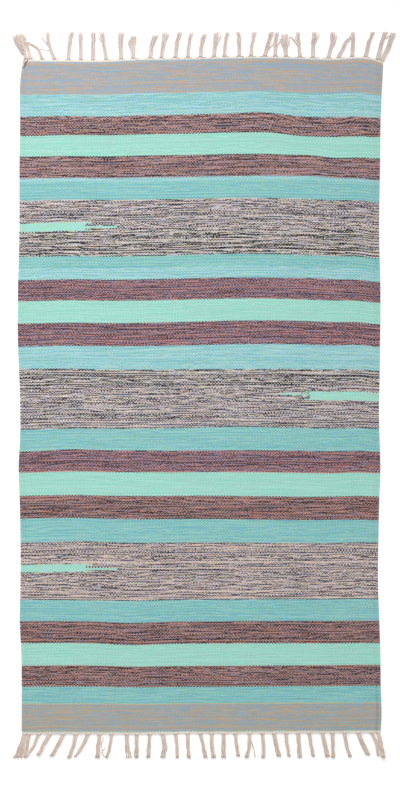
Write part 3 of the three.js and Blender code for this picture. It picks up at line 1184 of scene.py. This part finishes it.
def centre_line(tassel, end):
    """The middle of a tassel from its knot to its tip, its widths there and what is straight across."""
    level = knot_level(tassel, end)
    neck_x = tassel.knot + (tassel.middle - tassel.knot) * NECK_LEAN
    neck = (neck_x, level + end.outward * NECK_REACH)
    tip_y = end.trim - end.outward * tassel.short
    bends = tassel.via or ((tassel.middle, (neck[1] + tip_y) / 2),)
    points = np.array([(tassel.knot, level), neck, *bends, (tassel.tip, tip_y)])
    ahead = np.gradient(points, axis=0)
    ahead /= np.linalg.norm(ahead, axis=1, keepdims=True)
    across = np.stack([ahead[:, 1], -ahead[:, 0]], 1) * end.outward
    across[-1] = (1, 0)
    widths = [KNOT_WIDTH, NECK_WIDTH, *[tassel.waist] * len(bends), tassel.spread]
    return points, widths, across


def strand_line(tassel, warp_x, rank, count, end, parting, sway, chance):
    """A strand's line from the heading, along it to its knot, and out to its tip."""
    fan = (rank + 0.5) / count - 0.5
    fan += parting * math.sin(2 * math.tau * fan) + chance.uniform(-UNEVEN_FAN, UNEVEN_FAN) / count
    base = float(np.interp(warp_x, *end.edge))
    seam = float(np.interp(tassel.knot, *end.edge))
    run = end.outward * (end.run + chance.uniform(-RUN_VARIES, RUN_VARIES))
    aside = max(-MOST_ASIDE, min(MOST_ASIDE, (warp_x - tassel.knot) * ASIDE_SHARE))
    height = RUN_HEIGHT + RUN_LAYER * (rank % RUN_LAYERS)
    points = [
        (warp_x, base + end.outward * end.depth * ROOT_SHARE, ROOT_HEIGHT),
        (warp_x + (tassel.knot - warp_x) * RUN_PULL, base + run, height),
        (tassel.knot + aside, seam + run, height + RUN_RISE),
    ]
    for i, (place, width, across) in enumerate(zip(*centre_line(tassel, end))):
        share = fan + chance.uniform(-UNEVEN_PLACE, UNEVEN_PLACE) / count
        x, y = place + across * share * width
        points.append((x, y, NECK_HEIGHT if i < 2 else layered(rank, count, width)))
    lack = tassel.slant * (0.5 - fan) + chance.uniform(0, UNEVEN_TIPS)
    points[-1] = (points[-1][0], points[-1][1] - end.outward * lack, points[-1][2])
    line = smooth_path(points, KINKED_STEPS if tassel.via else STRAIGHT_STEPS)
    return waved(line, SWAYS_FROM, sway, chance)


def winding(tassel, number, end, chance):
    """One slanted winding of a knot."""
    angle = np.linspace(*WINDING_ROUND, TUBE_STEPS + 1) * math.tau - math.pi / 2
    slant = WINDING_SLANT * chance.choice((-1, 1))
    x = tassel.knot + WINDING_RADIUS * np.cos(angle)
    along = WINDING_PITCH * (number - WINDINGS // 2) + slant * np.cos(angle)
    y = knot_level(tassel, end) + end.outward * along
    z = WINDING_HEIGHT + WINDING_RISE * np.sin(angle)
    return np.stack([x, y, z], 1)


def warps_of(end):
    """The places across the rug of the warps that go to each knot, the outer ones more than once."""
    number = np.arange(WARPS)
    outer = np.minimum(number, WARPS - 1 - number) < OUTER_WARPS
    number = np.repeat(number, np.where(outer, OUTER_CORDS, 1))
    x, _ = on_web(number + 0.5, np.full(len(number), float(end.row)))
    knots = np.array([tassel.knot for tassel in end.tassels])
    nearest = np.abs(x[:, None] - knots).argmin(1)
    return [x[nearest == i] for i in range(len(knots))]


print("strand lines ready")

# %% Tie a fringe
STRAY_RADIUS = 0.0007
STRAY_GAP = 0.0013
STRAY_LAYER = 0.0006
HEADING_THINNER = 0.9

# trim is where the tips are cut, row the web's last row and depth the heading's. run and knot are how far
# out the strands gather and the knots sit, and the last is how much painted shade browns the knots.
End = namedtuple("End", "name edge outward tassels strays trim row depth run knot tightness")

FRINGED_ENDS = rows_of(
    End,
    ("head", HEAD, 1, HEAD_TASSELS, HEAD_STRAYS, 0.8125, TURNS, 0.0056, 0.006, 0.0092, 0.5),
    ("foot", FOOT, -1, FOOT_TASSELS, FOOT_STRAYS, -0.804, 0, 0.0032, 0.0028, 0.004, 0.1),
)


def tassel_cords(tassel, warps, end, chance):
    parting = chance.choice(PARTINGS)
    sway = chance.random()
    cords = []
    for rank, warp_x in enumerate(warps):
        line = strand_line(tassel, warp_x, rank, len(warps), end, parting, sway, chance)
        cords.append(Cord(line, STRAND_RADIUS * chance.uniform(*THICKNESSES), chance.random()))
    for number in range(WINDINGS):
        line = winding(tassel, number, end, chance)
        # The knot's windings carry its painted shade
        cords.append(Cord(line, STRAND_RADIUS, chance.random(), end.tightness))
    return cords


def stray_cords(stray, chance):
    ends = [(stray.x1, stray.y1), (stray.x2, stray.y2), (stray.x3, stray.y3)]
    cords = []
    for i in range(stray.count):
        aside = (i - (stray.count - 1) / 2) * STRAY_GAP
        line = smooth_path([(x + aside, y, stray.height + STRAY_LAYER * i) for x, y in ends], [6, 6])
        cords.append(Cord(waved(line, 0, chance.random(), chance), STRAY_RADIUS, chance.random()))
    return cords


def tie_fringe(end):
    chance = random.Random(len(end.tassels))
    cords = []
    for tassel, warps in zip(end.tassels, warps_of(end)):
        cords += tassel_cords(tassel, warps, end, chance)
    for stray in end.strays:
        cords += stray_cords(stray, chance)
    return cords


def heading_mesh(end):
    """The undyed wefts beyond the last stripe, woven like the web."""
    mesh = slab(f"{end.name}_heading", 2 * WARPS, 2)
    depth = end.depth / TURN_PITCH
    rows = (TURNS, TURNS + depth) if end.outward > 0 else (-depth, 0)
    weave(mesh, *rows, CLOTH_THICKNESS * HEADING_THINNER, HEADING_MAP_FROM)
    return mesh


def joined(first, second):
    with bpy.context.temp_override(active_object=first, selected_editable_objects=[first, second]):
        bpy.ops.object.join()
    return first


fringes = {}
for end in FRINGED_ENDS:
    cords = tie_fringe(end)
    fringe = new_object(f"{end.name}_fringe", bend_tubes(f"{end.name}_cords", cords), undyed_cotton)
    heading = new_object(f"{end.name}_heading", heading_mesh(end), woven_cotton)
    fringes[end.name] = joined(fringe, heading)
    print(end.name, "fringe:", len(cords), "cords,", len(fringe.data.polygons), "faces")

# %% [markdown]
# ## Floor and light
#
# The rug lies on a plain pale floor, which glows faintly like a lit table so that it stays white. One
# large soft light stands low beyond the head end and to the left. Its beam is narrowed, because the
# right side and the foot end are a little darker, and an even white surround fills the rest. A float is
# hardly larger than a pixel, so the denoiser has to take the colours as they are. With its usual
# smoothing of them first, it takes the weave for noise and wipes it out.

# %% Lay the floor and set the lights
FLOOR_SIZE = 12
FLOOR_DROP = 0.0003
FLOOR_SURFACE = {
    "Base Color": (0.95, 0.95, 0.955, 1),
    "Roughness": 0.9,
    "Specular IOR Level": 0.1,
    "Emission Color": (1, 1, 1, 1),
    "Emission Strength": 0.1,
}
LAMP_PLACE = (-0.8, 3.2, 2.06)
LAMP_AIM = (-0.45, -0.3, 0)
SURROUND = 0.75

bm = bmesh.new()
bmesh.ops.create_grid(bm, x_segments=1, y_segments=1, size=FLOOR_SIZE / 2)
bmesh.ops.translate(bm, verts=bm.verts[:], vec=(0, 0, -FLOOR_DROP))
floor_paint, floor_shader, _ = new_material("floor_paint")
fill_sockets(floor_shader, FLOOR_SURFACE)
floor = new_object("floor", mesh_of(bm, "floor"), floor_paint)

lamp_data = bpy.data.lights.new("softbox", "AREA")
lamp_data.shape = "SQUARE"
lamp_data.size = 2.0
lamp_data.spread = math.radians(58)
lamp_data.energy = 19.6
lamp = bpy.data.objects.new("softbox", lamp_data)
lamp.location = LAMP_PLACE
aim = Vector(LAMP_AIM) - lamp.location
lamp.rotation_euler = aim.to_track_quat("-Z", "Y").to_euler()
scene.collection.objects.link(lamp)

world = bpy.data.worlds.new("studio")
world.use_nodes = True
fill_sockets(world.node_tree.nodes["Background"], {"Color": (1, 1, 1, 1), "Strength": SURROUND})
scene.world = world
scene.view_settings.view_transform = "Standard"
scene.cycles.denoising_prefilter = "NONE"
print("light:", lamp_data.energy, "W")

# %% [markdown]
# ## Hand over to the frame
#
# Each new piece stands for its plain CAD solid, which is hidden, and rides on the rug's only body.

# %% Ride and replace
for piece, node, slot in (
    (web, "woven_field", "striped_cloth"),
    (fringes["head"], "fringe_head", "natural_cotton"),
    (fringes["foot"], "fringe_foot", "natural_cotton"),
):
    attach(piece, "root")
    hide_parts(node)
